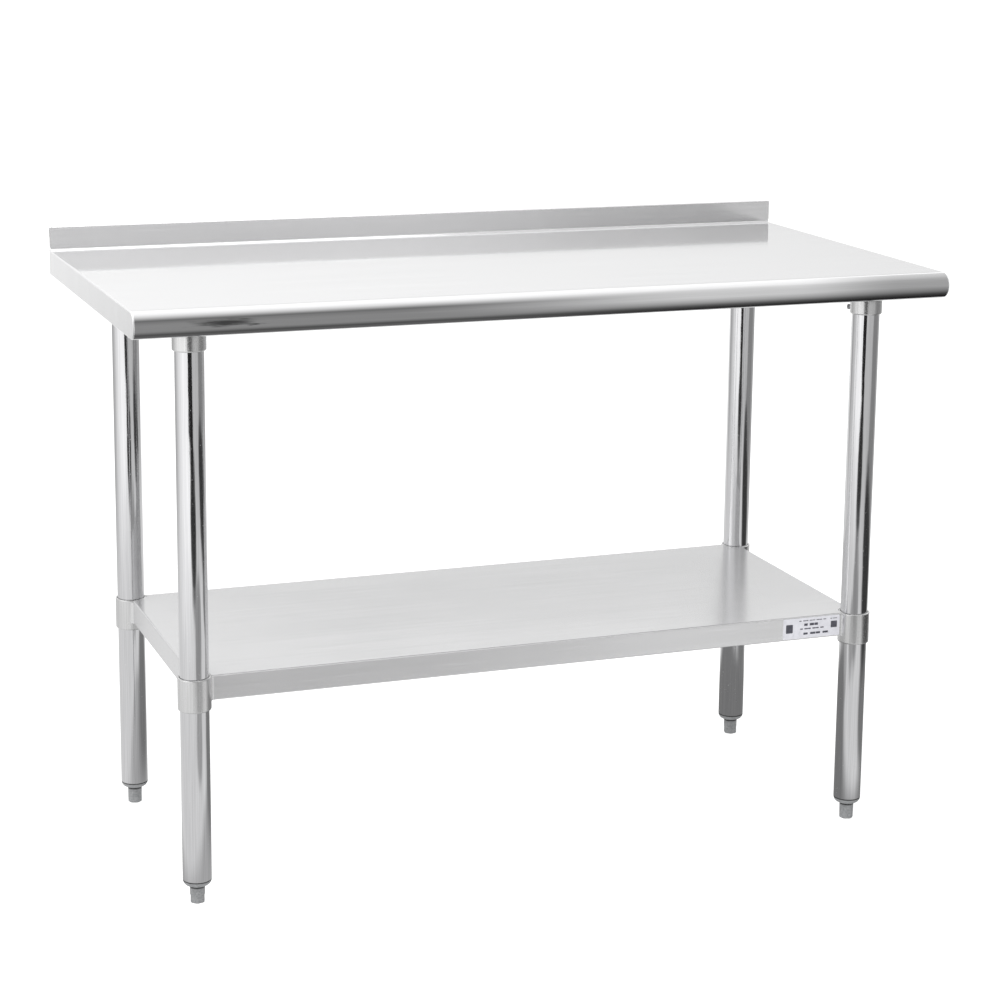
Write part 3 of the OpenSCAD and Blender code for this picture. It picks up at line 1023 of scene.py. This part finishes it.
def build_floor():
    """Pale floor, and the floor that the polished steel mirrors, with its shadows and fall-off."""
    paper, tree, shader = new_material("floor_paper")
    shader.inputs["Base Color"].default_value = (0.35, 0.35, 0.35, 1)
    shader.inputs["Roughness"].default_value = 0.9
    shader.inputs["Specular IOR Level"].default_value = 0.0
    shader.inputs["Emission Color"].default_value = (1, 1, 1, 1)
    shader.inputs["Emission Strength"].default_value = 0.88
    stage_square("floor", FLOOR_REACH, 0, paper)

    glow, tree, colour = glowing("floor_falloff")
    place = object_place(tree)
    around = bearing_light(tree, place, FLOOR_STOPS)
    near = ramp(tree, vector_maths(tree, "LENGTH", place), 1.2, 3.0, 0, 1)
    shade = blend(tree, near, 0.85, around)
    for centre, radii, value in FLOOR_PATCHES:
        shade = patch(tree, place, shade, centre, radii, value)
    tree.links.new(shade, colour)
    only_in_reflections(stage_square("floor_reflection", FLOOR_REACH, 0.0005, glow))


def build_flag():
    """Black flag beside the camera, which draws the dark line down each leg."""
    black, tree, colour = glowing("flag_black")
    colour.default_value = (0.02, 0.02, 0.02, 1)
    left, right, y, height = FLAG
    corners = [(left, y, 0), (right, y, 0), (right, y, height), (left, y, height)]
    only_in_reflections(stage_mesh("flag", corners, black))


def build_overhead_card():
    """Bright card overhead, which draws the lines on rims, folds and the backsplash's foot."""
    glow, tree, colour = glowing("overhead_card")
    colour.default_value = (3, 3, 3, 1)
    only_in_reflections(stage_square("overhead_card", 0.8, 3.2, glow))


def build_nose_card():
    """Grey glowing card curved round the nose, seen only in reflections, which paints the nose's
    reflected bands from the left end to the right.
    """
    glow, tree, colour = glowing("nose_card")
    place = object_place(tree)
    split = add_node(tree, "ShaderNodeSeparateXYZ", {"Vector": place})
    rise = maths(tree, "SUBTRACT", split.outputs["Z"], top_z - nose_r)
    ahead = maths(tree, "SUBTRACT", nose_y, split.outputs["Y"])
    turn = maths(tree, "ARCTAN2", rise, ahead)
    low, high = CARD_TURN
    share = add_node(tree, "ShaderNodeMapRange",
                     {"Value": turn, "From Min": math.radians(low),
                      "From Max": math.radians(high)}).outputs["Result"]
    sides = []
    for stops in (CARD_LEFT, CARD_RIGHT):
        made = add_node(tree, "ShaderNodeValToRGB", {"Fac": share})
        set_stops(made, [((angle - low) / (high - low), value) for angle, value in stops])
        sides.append(made.outputs["Color"])
    shade = blend(tree, ramp(tree, split.outputs["X"], -0.25, 0.25, 0, 1), *sides)
    # The dark spots, painted reflections on the nose, lie in X and turn, and noise makes their
    # outlines wander, more round than along
    spot = add_node(tree, "ShaderNodeCombineXYZ",
                    {"X": split.outputs["X"], "Y": turn}).outputs["Vector"]
    stretched = vector_maths(tree, "MULTIPLY", spot, (40, 6, 1))
    ragged = add_node(tree, "ShaderNodeTexNoise", {"Vector": stretched, "Scale": 1.0, "Detail": 3.0})
    wander = vector_maths(tree, "SUBTRACT", ragged.outputs["Color"], (0.5, 0.5, 0.5))
    spot = vector_maths(tree, "ADD", spot, vector_maths(tree, "MULTIPLY", wander, (0.06, 0.7, 0)))
    for centre, radii, value in CARD_DARK_SPOTS:
        shade = patch(tree, spot, shade, centre, radii, value, core=0.3)
    # The card dims towards the right end
    end = add_node(tree, "ShaderNodeVectorMath",
                   {0: shade, "Scale": ramp(tree, split.outputs["X"], 0.36, 0.54, 1, 0.6)},
                   operation="SCALE")
    tree.links.new(end.outputs[0], colour)
    section = arc((0, 0), CARD_R, low, high, 24)
    points = [(x, nose_y - a, top_z - nose_r + b) for a, b in section for x in (-0.75, 0.8)]
    faces = [(2 * i, 2 * i + 1, 2 * i + 3, 2 * i + 2) for i in range(len(section) - 1)]
    only_in_reflections(stage_mesh("nose_card", points, glow, faces))


def area_light(name, place, target, size, power):
    """Softbox at a place, turned towards a target."""
    light = bpy.data.lights.new(name, "AREA")
    light.shape = "RECTANGLE"
    light.size, light.size_y = size
    light.energy = power
    made = bpy.data.objects.new(name, light)
    made.location = place
    made.rotation_euler = (Vector(target) - Vector(place)).to_track_quat("-Z", "Y").to_euler()
    bpy.context.scene.collection.objects.link(made)
    return made


def build_lights():
    """Large soft light overhead, which only scattered light shows, and a weak one at the left."""
    centre = (cad_bounds[0] + cad_bounds[1]) / 2
    overhead = area_light("overhead_softbox", (-0.9, -0.4, 3.3), centre, (3.2, 2.6), 150)
    overhead.visible_glossy = False
    area_light("left_softbox", (-3.2, -0.6, 2.2), centre, (2.2, 2.2), 14)


def build_camera():
    """Camera at the photograph's place, found by fitting the table's own edges."""
    yaw, pitch, roll = math.radians(20.24), math.radians(-11.565), math.radians(0.564)
    forward = Vector((math.sin(yaw) * math.cos(pitch), math.cos(yaw) * math.cos(pitch),
                      math.sin(pitch)))
    right = Vector((math.cos(yaw), -math.sin(yaw), 0))
    up = right.cross(forward)
    right, up = (math.cos(roll) * right + math.sin(roll) * up,
                 math.cos(roll) * up - math.sin(roll) * right)
    camera = bpy.data.cameras.new("camera")
    camera.lens = 90.37
    camera.sensor_width = 36
    camera.shift_y = -0.10
    made = bpy.data.objects.new("camera", camera)
    made.matrix_world = (Matrix.Translation((-1.2786, -3.5118, 1.4164))
                         @ Matrix((right, up, -forward)).transposed().to_4x4())
    bpy.context.scene.collection.objects.link(made)
    bpy.context.scene.camera = made


# ---------------------------------------------------------------- build

build_camera()
build_world()
build_floor()
build_flag()
build_overhead_card()
build_nose_card()
build_lights()
bpy.context.scene.view_settings.view_transform = "Standard"

build_worktop()
build_channel("channel_folded_left", "channel_left", "table", 1)
build_channel("channel_folded_right", "channel_right", "table", 1)
build_channel("channel_folded_centre", "channel_centre", "table", 0)
build_undershelf()
build_shelf_welds()
build_channel("undershelf_channel_folded", "undershelf_channel", "shelf", 0)
build_label()
for corner in CORNERS:
    build_socket(corner)
    build_screw("socket_set_screw_" + corner, corner, "socket_screw_" + corner, "table")
    build_leg(corner)
    build_collar(corner)
    build_screw("collar_set_screw_" + corner, corner, "collar_screw_" + corner, "shelf")
    build_foot(corner)
    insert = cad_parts["foot_insert_" + corner]
    insert.data.materials.clear()
    insert.data.materials.append(MATERIALS["insert_plastic"])
